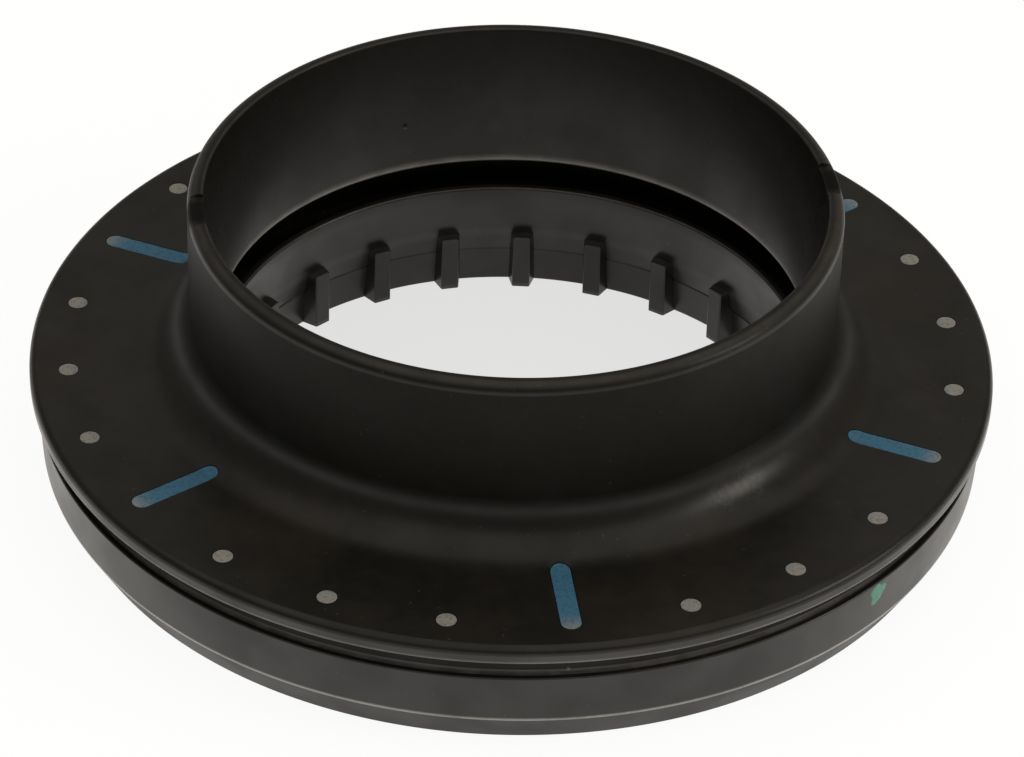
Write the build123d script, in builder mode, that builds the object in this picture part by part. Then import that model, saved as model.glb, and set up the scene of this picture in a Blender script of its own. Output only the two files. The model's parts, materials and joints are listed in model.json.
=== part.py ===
from build123d import *
import math
import os

os.makedirs("parts", exist_ok=True)

# A strut bearing for the front axle of a van, lying with its spring side up.
# Millimetres and degrees. The base face lies on z = 0 and the unit turns about the Z axis.
# The body cap bolts up under the car body, and the spring seat turns on it with the steering.

# Collar of the spring seat: its radius sets all the others, each a step from one before it
collar_radius = 50.17
collar_height = 28.5
collar_wall = 2.47  # at the rim
collar_taper = 2.35  # the bore narrows this much from the rim down to its lip
collar_lip_height = 5.4
root_fillet = 8.0
rim_round = 1.7
edge_break = 0.4
lip_ledge = 1.3

# Steps between the other radii
ball_circle_step = 9.83  # from the collar out to the centres of the balls
inner_leg_step = 2.23  # from the collar out to the bore of the inner leg
outer_skirt_step = 11.2  # from the ball circle out to the skirt of the spring seat
recess_step = 1.3  # from that skirt out to the wall drawn back under the flange
flange_overhang = 2.5
skirt_play = 0.8  # between the two skirts
mouth_step = 0.95  # the skirt of the body cap opens out this much above its bead
skirt_land = 0.95
heel_step = 0.5
base_step = 3.3

# Ball ring
ball_diameter = 6.0
ball_count = 24
contact_tilt = 25.0  # the contact line leans this far from the turning axis
running_gap = 0.1  # between a ball and each raceway

# Races pressed from sheet steel
race_sheet = 1.5
groove_sweep = 70.0  # how far each raceway wraps round the balls
race_flat = 4.5  # the flat part beside the groove

# Cage
cage_thickness = 2.2
cage_half_width = 4.3
pocket_clearance = 0.15
cage_edge = 0.4

# Body cap, the lower moulding
cap_floor = 5.2
bore_taper = 0.3  # from the base face up to the parting line of the mould
parting_rise = 1.0  # how far that line lies above the floor
sleeve_taper = 2.6  # from the base face up to the land at the top
sleeve_land = 2.0
sleeve_drop = 0.5  # from the flange face down to the top of the sleeve
sleeve_wall = 2.3
sleeve_edge = 1.2  # the narrow top edge of the sleeve
heel_rise = 0.5
heel_round = 0.8
skirt_drop = 0.6  # from the web over the balls down to the top of the skirt
skirt_edge_round = 0.3
mouth_edge = 0.2
shoulder_wall = 2.1  # the rim that holds the body race in the middle
shoulder_drop = 0.8  # from the ball centres down to the top of that rim
snap_rise = 0.3  # from the ball centres up to the underside of the bead
snap_bead_land = 0.65
snap_bead_depth = 0.55

# Centring ribs in the bore of the body cap
rib_count = 24
rib_phase = 5.5
rib_tip_width = 2.8
rib_root_width = 4.6
rib_bury = 0.6  # how far they reach into the wall
rib_height = 9.9

# Pockets in the base face
ring_wall = 2.4
web_width = 2.4
pocket_depth = 2.8
track_ring_width = 2.6  # the ring left under the ball track

# Spring seat, the upper moulding
web_over_race = 5.7  # from the seat race up to the flange face
lip_thickness = 2.7
lip_round = 1.3
lip_under_round = 0.3
recess_draft = 0.5
labyrinth_gap = 0.8  # between the two slopes under the flange, along the turning axis
inner_leg_drop = 1.0  # from the ball centres down to the end of the inner leg
inner_ledge_rise = 0.6  # from the ball centres up to the ledge beside the seat race
roof_room = 1.8  # from the web over the balls up to the foot of the slope over the sleeve
outer_skirt_wall = 2.0
outer_skirt_reach = 2.3  # from the ball centres down to the end of the outer skirt
seal_room_height = 1.2
snap_hook_depth = 0.5
snap_hook_land = 0.6
snap_hook_width = 1.2
snap_play = 0.5
skirt_slit_count = 12
skirt_slit_width = 1.6
skirt_slit_height = 3.2
skirt_slit_overcut = 1.0

# Notches across the rim of the collar
notch_count = 2
notch_width = 8.2
notch_depth = 0.5

# Stiffening ring moulded into the flange, with pads that held it in the mould
insert_sheet = 1.5
insert_cover = 1.2
insert_edge = 3.5  # from the ring out to the edge of the flange
insert_step = 4.03  # from the collar out to the bore of the ring
mark_count = 24
mark_edge = 6.0  # from the circle of the round pads out to the edge of the flange
mark_diameter = 3.0
mark_sink = 0.1  # the pads end this far below the flange face
slot_count = 6
slot_margin = 1.5
first_mark_angle = -90.0

# Lip seals
seal_body = 1.3
seal_gap = 0.25
seal_lip = 0.7
outer_seal_height = 3.6
outer_seal_drop = 0.6  # from the web over the balls down to the top of the outer seal
outer_lip_lap = 1.1  # how far its lip hangs down over the rim of the body cap
inner_seal_height = 3.8
inner_seal_lap = 4.2  # how far the inner seal reaches up the inner leg
inner_lip_rise = 1.7  # from the floor of the body cap up to its lip

# Radii that follow from the sizes above
collar_rim_bore = collar_radius - collar_wall
collar_lip_bore = collar_rim_bore - collar_taper
inner_leg_bore = collar_radius + inner_leg_step
pitch_radius = collar_radius + ball_circle_step
outer_skirt_radius = pitch_radius + outer_skirt_step
outer_seal_wall = outer_skirt_radius - outer_skirt_wall
recess_radius = outer_skirt_radius + recess_step
flange_radius = recess_radius + flange_overhang
bore_radius = collar_rim_bore
sleeve_taper_radius = bore_radius - bore_taper
sleeve_top_radius = bore_radius - sleeve_taper
rib_tip_radius = sleeve_top_radius
skirt_bore_radius = outer_skirt_radius + skirt_play
skirt_mouth_radius = skirt_bore_radius + mouth_step
skirt_top_radius = skirt_mouth_radius + skirt_land
skirt_heel_radius = skirt_top_radius - heel_step
base_outer_radius = skirt_heel_radius - base_step
bead_radius = skirt_bore_radius - snap_bead_depth
mark_radius = flange_radius - mark_edge
insert_radius = flange_radius - insert_edge
insert_bore = collar_radius + insert_step
slot_inner_radius = insert_bore + slot_margin

# Heights that follow
ball_radius = ball_diameter / 2
groove_radius = ball_radius + running_gap
race_back = groove_radius + race_sheet
ball_height = cap_floor + race_back
seat_pocket = ball_height + race_back
flange_top = seat_pocket + web_over_race
collar_top = flange_top + collar_height
collar_lip = flange_top + collar_lip_height
inner_leg_bottom = ball_height - inner_leg_drop
inner_ledge = ball_height + inner_ledge_rise
outer_skirt_bottom = ball_height - outer_skirt_reach
roof_foot = seat_pocket + roof_room
insert_top = flange_top - insert_cover
insert_bottom = insert_top - insert_sheet
parting_height = cap_floor + parting_rise
sleeve_top = flange_top - sleeve_drop
sleeve_land_bottom = sleeve_top - sleeve_land
skirt_heel_height = cap_floor + heel_rise
skirt_top = seat_pocket - skirt_drop
shoulder_top = ball_height - shoulder_drop
snap_height = ball_height + snap_rise
bead_top = snap_height + snap_bead_land
mouth_height = bead_top + skirt_mouth_radius - bead_radius

# The ball circle, the marks and the slope of the sleeve
ball_centre = (pitch_radius, ball_height)
mark_pitch = 360.0 / mark_count
marks_between_slots = mark_count // slot_count - 1
groove_end_reach = race_back * math.sin(math.radians(groove_sweep))
sleeve_slope = (sleeve_taper_radius - sleeve_top_radius) / (sleeve_land_bottom - parting_height)


def sleeve_back(height):
    """Outer radius of the sleeve of the body cap at a height."""
    return sleeve_top_radius + (sleeve_land_bottom - height) * sleeve_slope + sleeve_wall


def corner(section, x, y):
    """The corner of a section that lies nearest to a point."""
    return section.vertices().sort_by_distance((x, y))[0]


# Outlines of the pads: round ones, and a long radial one at each sixth of the flange
slot_outer_radius = mark_radius + mark_diameter / 2
slot_length = slot_outer_radius - slot_inner_radius

with BuildSketch() as pads:
    for step in range(1, marks_between_slots + 1):
        with PolarLocations(mark_radius, slot_count, first_mark_angle + step * mark_pitch):
            Circle(mark_diameter / 2)
    with PolarLocations(slot_outer_radius - slot_length / 2, slot_count, first_mark_angle):
        SlotOverall(slot_length, mark_diameter)

# Stiffening ring: a flat steel washer inside the flange, with pads pressed up out of it
with BuildPart() as stiffener_insert:
    with BuildSketch(Plane.XY.offset(insert_bottom)):
        Circle(insert_radius)
        Circle(insert_bore, mode=Mode.SUBTRACT)
    extrude(amount=insert_sheet)
    with BuildSketch(Plane.XY.offset(insert_top)):
        add(pads.sketch)
    extrude(amount=insert_cover - mark_sink)

stiffener_insert.part.label = "stiffener_insert"
export_step(stiffener_insert.part, "parts/stiffener_insert.step")

# Spring seat: collar, flange, inner leg and outer skirt in one moulding
lip_underside = flange_top - lip_thickness
recess_bottom = mouth_height - (skirt_mouth_radius - recess_radius) + labyrinth_gap
race_pocket_edge = pitch_radius + race_back + race_sheet
seal_roof = seat_pocket + seal_room_height

with BuildPart() as spring_seat:
    with BuildSketch(Plane.XZ) as seat_section:
        with BuildLine():
            raceway = CenterArc(ball_centre, race_back, 90, groove_sweep)
            Polyline(
                raceway @ 1,
                (pitch_radius - groove_end_reach, inner_ledge),
                (inner_leg_bore + outer_skirt_wall, inner_leg_bottom),
                (inner_leg_bore, inner_leg_bottom),
                (inner_leg_bore, roof_foot),
                (collar_lip_bore + lip_ledge, collar_lip),
                (collar_lip_bore, collar_lip),
                (collar_rim_bore, collar_top),
                (collar_radius, collar_top),
                (collar_radius, flange_top),
                (flange_radius, flange_top),
                (flange_radius, lip_underside),
                (recess_radius + recess_draft, lip_underside - recess_draft),
                (recess_radius, recess_bottom),
                (outer_skirt_radius, recess_bottom - recess_step),
                (outer_skirt_radius, outer_skirt_bottom),
                (outer_seal_wall, outer_skirt_bottom),
                (outer_seal_wall, seal_roof),
                (race_pocket_edge, seal_roof),
                (race_pocket_edge, seat_pocket),
                raceway @ 0,
            )
        make_face()
        fillet(corner(seat_section, collar_radius, flange_top), root_fillet)
        fillet(corner(seat_section, collar_radius, collar_top), rim_round)
        fillet(corner(seat_section, flange_radius, flange_top), lip_round)
        fillet(corner(seat_section, flange_radius, lip_underside), lip_under_round)
        chamfer(corner(seat_section, collar_rim_bore, collar_top), edge_break)
        chamfer(corner(seat_section, collar_lip_bore, collar_lip), edge_break)
    revolve(axis=Axis.Z)

    # The hook that snaps under the bead of the body cap
    hook_top = snap_height - snap_play
    with BuildSketch(Plane.XZ):
        with BuildLine():
            Polyline(
                (outer_skirt_radius - snap_hook_depth, hook_top),
                (outer_skirt_radius + snap_hook_depth, hook_top),
                (outer_skirt_radius + snap_hook_depth, hook_top - snap_hook_land),
                (outer_skirt_radius, hook_top - snap_hook_width),
                (outer_skirt_radius - snap_hook_depth, hook_top - snap_hook_width),
                close=True,
            )
        make_face()
    revolve(axis=Axis.Z)

    # Slits let the skirt spring inwards as the two mouldings snap together
    with BuildSketch(Plane.XY.offset(outer_skirt_bottom)):
        with PolarLocations(outer_skirt_radius - outer_skirt_wall / 2, skirt_slit_count):
            Rectangle(outer_skirt_wall + 2 * skirt_slit_overcut, skirt_slit_width)
    extrude(amount=skirt_slit_height, mode=Mode.SUBTRACT)

    # Room for the stiffening ring
    add(stiffener_insert.part, mode=Mode.SUBTRACT)

    # Windows in which the pads show
    with BuildSketch(Plane.XY.offset(insert_top)):
        add(pads.sketch)
    extrude(amount=insert_cover, mode=Mode.SUBTRACT)

    # Shallow notches across the rim, a quarter turn from the first slot
    rim_middle = (collar_radius + collar_rim_bore) / 2
    rim_width = collar_radius - collar_rim_bore
    with BuildSketch(Plane.XY.offset(collar_top)):
        with PolarLocations(rim_middle, notch_count):
            Rectangle(2 * rim_width, notch_width)
    extrude(amount=-notch_depth, mode=Mode.SUBTRACT)

spring_seat.part.label = "spring_seat"
export_step(spring_seat.part, "parts/spring_seat.step")

# The section of a race, drawn about the centre of a ball: a flat, then the groove
with BuildSketch() as race_section:
    with BuildLine():
        groove = CenterArc((0, 0), groove_radius, -90, groove_sweep)
        back = CenterArc((0, 0), race_back, -90, groove_sweep)
        Line(groove @ 1, back @ 1)
        Polyline(back @ 0, (-race_flat, -race_back), (-race_flat, -groove_radius), groove @ 0)
    make_face()

# Seat race: its groove takes the balls from above and inside
with BuildPart() as seat_race:
    with BuildSketch(Plane.XZ):
        with Locations(ball_centre):
            add(race_section.sketch, rotation=180)
    revolve(axis=Axis.Z)

seat_race.part.label = "seat_race"
export_step(seat_race.part, "parts/seat_race.step")

# Body race: its groove takes the balls from below and outside
with BuildPart() as body_race:
    with BuildSketch(Plane.XZ):
        with Locations(ball_centre):
            add(race_section.sketch)
    revolve(axis=Axis.Z)

body_race.part.label = "body_race"
export_step(body_race.part, "parts/body_race.step")

# Ball cage: a dished ring square to the contact line, with one round pocket for each ball
with BuildPart() as ball_cage:
    with BuildSketch(Plane.XZ) as cage_section:
        with Locations(ball_centre):
            Rectangle(2 * cage_half_width, cage_thickness, rotation=contact_tilt)
        chamfer(cage_section.vertices(), cage_edge)
    revolve(axis=Axis.Z)
    pocket_radius = ball_radius + pocket_clearance
    with PolarLocations(pitch_radius, ball_count):
        with Locations((0, 0, ball_height)):
            Cylinder(pocket_radius, 2 * cage_thickness, rotation=(0, -contact_tilt, 0), mode=Mode.SUBTRACT)

ball_cage.part.label = "ball_cage"
export_step(ball_cage.part, "parts/ball_cage.step")

# Balls
for number in range(ball_count):
    turn = math.radians(number * 360 / ball_count)
    place = (pitch_radius * math.cos(turn), pitch_radius * math.sin(turn), ball_height)
    name = f"ball_{number + 1:02d}"
    with BuildPart() as ball:
        with Locations(place):
            Sphere(ball_radius)
    ball.part.label = name
    export_step(ball.part, f"parts/{name}.step")

# Outer seal: sits inside the skirt of the spring seat and wipes the shoulder of the body cap
shoulder_radius = pitch_radius + groove_end_reach + shoulder_wall
outer_lip_radius = shoulder_radius + seal_gap
outer_lip_bottom = shoulder_top - outer_lip_lap
outer_seal_top = seat_pocket - outer_seal_drop

with BuildPart() as outer_seal:
    with BuildSketch(Plane.XZ):
        with BuildLine():
            Polyline(
                (outer_seal_wall, outer_seal_top),
                (outer_seal_wall - seal_body, outer_seal_top),
                (outer_seal_wall - seal_body, outer_seal_top - outer_seal_height + seal_lip),
                (outer_lip_radius, outer_lip_bottom + seal_lip),
                (outer_lip_radius, outer_lip_bottom),
                (outer_lip_radius + seal_lip, outer_lip_bottom),
                (outer_seal_wall, outer_seal_top - outer_seal_height),
                close=True,
            )
        make_face()
    revolve(axis=Axis.Z)

outer_seal.part.label = "outer_seal"
export_step(outer_seal.part, "parts/outer_seal.step")

# Inner seal: sits inside the inner leg of the spring seat and wipes the sleeve of the body cap
inner_lip_bottom = cap_floor + inner_lip_rise
inner_lip_radius = sleeve_back(inner_lip_bottom) + seal_gap
inner_seal_top = inner_leg_bottom + inner_seal_lap

with BuildPart() as inner_seal:
    with BuildSketch(Plane.XZ):
        with BuildLine():
            Polyline(
                (inner_leg_bore, inner_seal_top),
                (inner_leg_bore - seal_body, inner_seal_top),
                (inner_leg_bore - seal_body, inner_seal_top - inner_seal_height + seal_lip),
                (inner_lip_radius, inner_lip_bottom + seal_lip),
                (inner_lip_radius, inner_lip_bottom),
                (inner_lip_radius + seal_lip, inner_lip_bottom),
                (inner_leg_bore, inner_seal_top - inner_seal_height),
                close=True,
            )
        make_face()
    revolve(axis=Axis.Z)

inner_seal.part.label = "inner_seal"
export_step(inner_seal.part, "parts/inner_seal.step")

# Body cap: base ring, bore sleeve, race shoulder and outer skirt in one moulding
sleeve_shoulder = sleeve_top - sleeve_edge

with BuildPart() as body_cap:
    with BuildSketch(Plane.XZ) as cap_section:
        with BuildLine():
            race_bed = CenterArc(ball_centre, race_back, -90, groove_sweep)
            Polyline(
                race_bed @ 1,
                (pitch_radius + groove_end_reach, shoulder_top),
                (shoulder_radius, shoulder_top),
                (shoulder_radius, cap_floor),
                (skirt_bore_radius, cap_floor),
                (skirt_bore_radius, snap_height - snap_bead_depth),
                (bead_radius, snap_height),
                (bead_radius, bead_top),
                (skirt_mouth_radius, mouth_height),
                (skirt_mouth_radius, skirt_top),
                (skirt_top_radius, skirt_top),
                (skirt_heel_radius, skirt_heel_height),
                (base_outer_radius, 0),
                (bore_radius, 0),
                (sleeve_taper_radius, parting_height),
                (sleeve_top_radius, sleeve_land_bottom),
                (sleeve_top_radius, sleeve_top),
                (sleeve_top_radius + sleeve_edge, sleeve_top),
                (sleeve_back(sleeve_shoulder), sleeve_shoulder),
                (sleeve_back(cap_floor), cap_floor),
                race_bed @ 0,
            )
        make_face()
        fillet(corner(cap_section, skirt_heel_radius, skirt_heel_height), heel_round)
        fillet(corner(cap_section, skirt_top_radius, skirt_top), skirt_edge_round)
        chamfer(corner(cap_section, skirt_mouth_radius, skirt_top), mouth_edge)
        chamfer(corner(cap_section, sleeve_top_radius, sleeve_top), edge_break)
    revolve(axis=Axis.Z)

    # Centring ribs with leaning flanks
    rib_root_radius = bore_radius + rib_bury
    with BuildSketch():
        with PolarLocations(0, rib_count, rib_phase):
            Polygon(
                (rib_tip_radius, -rib_tip_width / 2),
                (rib_root_radius, -rib_root_width / 2),
                (rib_root_radius, rib_root_width / 2),
                (rib_tip_radius, rib_tip_width / 2),
                align=None,
            )
    extrude(amount=rib_height)

    # Pockets between radial webs, in two rows with a ring under the ball track
    inner_row = (bore_radius + ring_wall, pitch_radius - track_ring_width / 2)
    outer_row = (pitch_radius + track_ring_width / 2, base_outer_radius - ring_wall)
    with BuildSketch() as pockets:
        for inner_edge, outer_edge in (outer_row, inner_row):
            Circle(outer_edge)
            Circle(inner_edge, mode=Mode.SUBTRACT)
        with PolarLocations(pitch_radius, rib_count, rib_phase):
            Rectangle(base_outer_radius - bore_radius, web_width, mode=Mode.SUBTRACT)
    extrude(amount=pocket_depth, mode=Mode.SUBTRACT)

body_cap.part.label = "body_cap"
export_step(body_cap.part, "parts/body_cap.step")
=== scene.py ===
import json
import math

import bmesh
import bpy
from bpy.props import FloatProperty, FloatVectorProperty, IntProperty, PointerProperty
from bpy.types import Operator, Panel, PropertyGroup
from mathutils import Matrix, Vector


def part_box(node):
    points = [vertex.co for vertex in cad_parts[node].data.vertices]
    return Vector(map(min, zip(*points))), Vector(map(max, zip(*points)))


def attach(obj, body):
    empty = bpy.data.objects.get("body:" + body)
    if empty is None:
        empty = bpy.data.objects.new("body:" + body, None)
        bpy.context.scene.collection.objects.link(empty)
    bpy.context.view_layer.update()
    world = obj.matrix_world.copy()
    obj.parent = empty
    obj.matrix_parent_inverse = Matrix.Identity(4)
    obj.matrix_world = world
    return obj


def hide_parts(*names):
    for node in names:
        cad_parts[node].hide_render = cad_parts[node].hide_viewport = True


bl_info = {
    "name": "Strut Bearing Looks",
    "version": (1, 0, 0),
    "blender": (4, 5, 0),
    "location": "View3D > Sidebar > Strut Bearing",
    "description": "Moulded, pressed and polished finishes for a strut bearing, and its studio",
    "category": "Object",
}

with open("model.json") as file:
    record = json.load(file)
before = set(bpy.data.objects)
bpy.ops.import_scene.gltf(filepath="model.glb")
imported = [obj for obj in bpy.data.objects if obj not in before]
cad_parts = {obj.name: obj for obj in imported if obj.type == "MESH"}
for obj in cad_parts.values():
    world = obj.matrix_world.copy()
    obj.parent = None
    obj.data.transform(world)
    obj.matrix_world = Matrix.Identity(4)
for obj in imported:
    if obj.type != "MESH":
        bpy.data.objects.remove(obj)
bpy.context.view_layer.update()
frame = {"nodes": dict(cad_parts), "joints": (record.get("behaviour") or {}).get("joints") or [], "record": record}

MM = 0.001


def named(rows, name):
    """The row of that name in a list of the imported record."""
    return next(row for row in rows if row["name"] == name)


def display(red, green, blue):
    """A colour as a screen shows it, 0 to 255, turned into the values that shaders use."""
    return tuple(
        ((c / 255 + 0.055) / 1.055) ** 2.4 if c > 10 else c / 255 / 12.92 for c in (red, green, blue)
    )


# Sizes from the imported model, in metres
SEAT_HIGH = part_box("spring_seat")[1]
INSERT_LOW, INSERT_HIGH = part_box("stiffener_insert")
FLANGE_TOP = named(frame["record"]["mounts"], "spring_end_face")["pos_m"][2]
FLANGE_RADIUS, COLLAR_TOP = SEAT_HIGH.x, SEAT_HIGH.z
COLLAR_RADIUS = named(frame["record"]["mounts"], "spring_collar")["dims"]["r_mm"] * MM
SLEEVE_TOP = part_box("body_cap")[1].z
SLEEVE_RADIUS = named(frame["record"]["mounts"], "boot_bore")["dims"]["r_mm"] * MM
FIRST_BALL = named(frame["joints"], "ball_01_spin")["pos_m"]
BALL_CIRCLE, BALL_HEIGHT = math.hypot(*FIRST_BALL[:2]), FIRST_BALL[2]

# The marks of the flange: six groups of a long one and three round ones, the first group at the front
MARK_GROUPS = 6
MARK_PITCH = math.radians(15)
MARK_START = math.radians(-90)

WELD = 1e-6  # points closer than this, in metres, become one
CREASE = math.radians(32)  # faces that meet more steeply than this keep their edge
DUST = 0.3  # how thick it lies on the mouldings
LAMP_COLOUR = (1, 0.95, 0.88)  # the lamps and the sky
SHADE_BLACK = (0.001, 0.001, 0.001)  # painted shade of the pit and the notch floors


def length(name, description, millimetres):
    """A length as a property of the add-on."""
    return FloatProperty(name=name, description=description, default=millimetres * MM, min=0, unit="LENGTH")


def degrees(name, description, value):
    """An angle as a property of the add-on."""
    return FloatProperty(name=name, description=description, default=math.radians(value), subtype="ANGLE")


def whole(name, description, value, least):
    """A count as a property of the add-on."""
    return IntProperty(name=name, description=description, default=value, min=least)


def tint(name, description, value):
    """A colour as a property of the add-on."""
    return FloatVectorProperty(name=name, description=description, subtype="COLOR", size=3, default=value)


class SeatSizes(PropertyGroup):
    """Sizes of the spring seat's section, as in the CAD model but for a lower and rounder lip."""

    collar_wall: length("Collar wall", "Thickness of the collar at its rim", 2.47)
    lip_step: length("Collar taper", "How much the bore narrows from the rim down to its lip", 2.35)
    lip_rise: length("Collar lip height", "From the flange face up to the lip inside the collar", 4.3)
    lip_ledge: length("Lip ledge", "Width of the underside of that lip", 1.3)
    lip_round: length("Lip rounding", "Rounding of the edge of that lip", 0.95)
    root: length("Collar root", "Fillet between collar and flange", 8.0)
    rim_round: length("Rim rounding", "Outer rounding of the collar's rim", 1.7)
    flange_round: length("Flange rounding", "Upper rounding of the flange edge", 1.3)
    flange_edge: length("Flange edge", "Thickness of the flange at its edge", 2.7)
    recess: length("Recess", "From the flange edge in to the wall under it", 2.5)
    recess_foot: length("Recess foot", "Height at which that wall turns inwards", 12.6)
    skirt: length("Skirt", "From the ball circle out to the outside of the skirt", 11.2)
    skirt_wall: length("Skirt wall", "Thickness of the skirt and the inner leg", 2.0)
    skirt_foot: length("Skirt foot", "Height of the lower end of the skirt", 7.5)
    leg: length("Inner leg", "From the collar radius out to the bore of the inner leg", 2.23)
    leg_foot: length("Leg foot", "Height of the lower end of the inner leg", 8.8)
    race_back: length("Race back", "Radius of the back of the raceways about the ball centres", 4.6)
    edge: length("Edge rounding", "Rounding of the moulding's other edges", 0.2)
    window_sink: length("Window depth", "From the flange face down to the stiffening ring", 1.2)
    mark_circle: length("Mark circle", "Radius of the circle of the round marks", 69.0)
    mark_width: length("Mark width", "Diameter of a round mark and width of a long one", 3.0)
    slot_start: length("Long mark", "Radius at which the long marks begin", 55.7)
    notch_width: length("Notch width", "Width of the notches across the rim", 8.2)
    notch_depth: length("Notch depth", "Depth of those notches", 0.5)
    turn_steps: whole("Steps", "Steps of the turned form round the axis", 288, 24)

    @property
    def rim_bore(self):
        """Radius of the collar's bore at its rim."""
        return COLLAR_RADIUS - self.collar_wall

    @property
    def lip(self):
        """Height of the lip inside the collar."""
        return FLANGE_TOP + self.lip_rise

    @property
    def under(self):
        """Height of the underside of the flange edge."""
        return FLANGE_TOP - self.flange_edge

    @property
    def recess_wall(self):
        """Radius of the wall under the flange."""
        return FLANGE_RADIUS - self.recess

    @property
    def skirt_radius(self):
        """Radius of the outside of the skirt."""
        return BALL_CIRCLE + self.skirt

    @property
    def insert_bore(self):
        """Radius of the bore of the stiffening ring."""
        return self.slot_start - 1.5 * MM

    @property
    def insert_top(self):
        """Height of the stiffening ring between its pads."""
        return FLANGE_TOP - self.window_sink


class CapSizes(PropertyGroup):
    """Sizes of the body cap's section, as in the CAD model."""

    floor: length("Floor", "Height of the floor over the base face", 5.2)
    bore: length("Bore", "Radius of the bore at the base face", 47.7)
    parting: length("Parting line", "Height of the line round the bore where the mould's cores met", 6.2)
    parting_step: length("Parting step", "Width of the step on that line", 0.12)
    bore_taper: length("Bore taper", "How much the bore narrows up to that line", 0.3)
    land: length("Land", "Height of the straight bore at the top of the sleeve", 2.0)
    sleeve_wall: length("Sleeve wall", "Thickness of the sleeve", 2.3)
    sleeve_edge: length("Sleeve edge", "Width of the sleeve's top edge", 1.2)
    skirt: length("Skirt", "From the ball circle out to the inside of the skirt", 12.0)
    skirt_top: length("Skirt top", "Height of the top of the skirt", 13.8)
    mouth: length("Skirt mouth", "How much the skirt opens out above its bead", 0.95)
    skirt_land: length("Skirt land", "Width of the top of the skirt", 0.95)
    bead: length("Snap bead", "How far the snap bead stands in", 0.55)
    heel: length("Heel", "Height of the heel between the skirt and the slope under it", 5.7)
    heel_step: length("Heel step", "How much the heel stands in from the top of the skirt", 0.5)
    slope: length("Base slope", "How much the slope under the heel runs in", 3.3)
    heel_round: length("Heel rounding", "Rounding of the heel", 0.8)
    shoulder: length("Shoulder", "Thickness of the rim that holds the body race", 2.1)
    edge: length("Edge rounding", "Rounding of the moulding's other edges", 0.2)
    rib_width: length("Rib width", "Width of a rib at its tip", 2.8)
    rib_root: length("Rib root", "Width of a rib at its root", 4.6)
    rib_height: length("Rib height", "Height of the ribs over the base face", 9.9)
    rib_round: length("Rib rounding", "Rounding of the ribs' edges", 0.3)
    pocket_depth: length("Pocket depth", "Depth of the pockets in the base face", 2.8)
    web: length("Web", "Width of the webs between the pockets", 2.4)
    track_ring: length("Track ring", "Width of the ring left under the balls", 2.6)
    rib_count: whole("Ribs", "Ribs in the bore and webs in the base", 24, 3)
    rib_phase: degrees("Rib phase", "Where the first rib stands", 5.5)
    turn_steps: whole("Steps", "Steps of the turned form round the axis", 288, 24)

    @property
    def top_radius(self):
        """Outer radius of the top of the skirt."""
        return BALL_CIRCLE + self.skirt + self.mouth + self.skirt_land

    @property
    def heel_radius(self):
        """Outer radius of the heel."""
        return self.top_radius - self.heel_step


class FinishSizes(PropertyGroup):
    """Sizes of the surface detail."""

    grain_size: length("Grain size", "Width of one grain of the moulded surface", 0.35)
    ripple_size: length("Ripple size", "Width of the slow waves that the melt left in the surface", 14)
    edge_reach: length("Edge wear reach", "How far from an edge the wear shows", 0.5)


class FinishColours(PropertyGroup):
    """Colours of the pieces."""

    seat: tint("Spring seat", "Black glass-filled polyamide of the spring seat", display(33, 31, 26))
    cap: tint("Body cap", "Black polyamide of the body cap", display(30, 27, 24))
    # Also the pale of the painted highlights on edges and in spots
    scuff_and_highlight: tint("Scuffed plastic", "Black plastic that handling has rubbed grey", display(176, 172, 166))
    dust: tint("Dust", "Warm dust that has settled on the plastic", display(72, 62, 52))
    insert: tint("Ring, outer part", "Pale zinc coat of the stiffening ring", display(196, 192, 183))
    insert_blue: tint("Ring, inner part", "Blue tint of the same coat further in", display(86, 151, 187))
    race: tint("Race steel", "Hardened strip that the races are pressed from", (0.55, 0.55, 0.56))
    ball: tint("Ball steel", "Polished bearing steel", (0.75, 0.75, 0.76))
    cage: tint("Cage plastic", "Natural polyamide of the ball cage", (0.68, 0.63, 0.51))
    seal: tint("Seal rubber", "Black rubber of the lip seals", display(34, 33, 33))
    paint: tint("Paint dab", "Green inspection mark on the skirt of the body cap", display(128, 205, 178))


class StageSizes(PropertyGroup):
    """Camera and floor."""

    lens: FloatProperty(
        name="Lens",
        description="Focal length of the camera on its 36 mm sensor",
        default=165.07,
        unit="CAMERA",
    )
    distance: length("Camera distance", "From the middle of the flange face back to the camera", 732.5)
    elevation: degrees("Elevation", "How far the camera looks down", 35.894)
    azimuth: degrees("Azimuth", "How far the camera stands round from the front, against the clock", -8.096)
    roll: degrees("Roll", "Tilt of the camera about its own axis", 1.6655)
    sight_drop: length("Sight drop", "How far below that middle the camera's axis passes", 5.15)
    floor_size: length("Floor size", "Side of the square floor", 6000)


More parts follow.
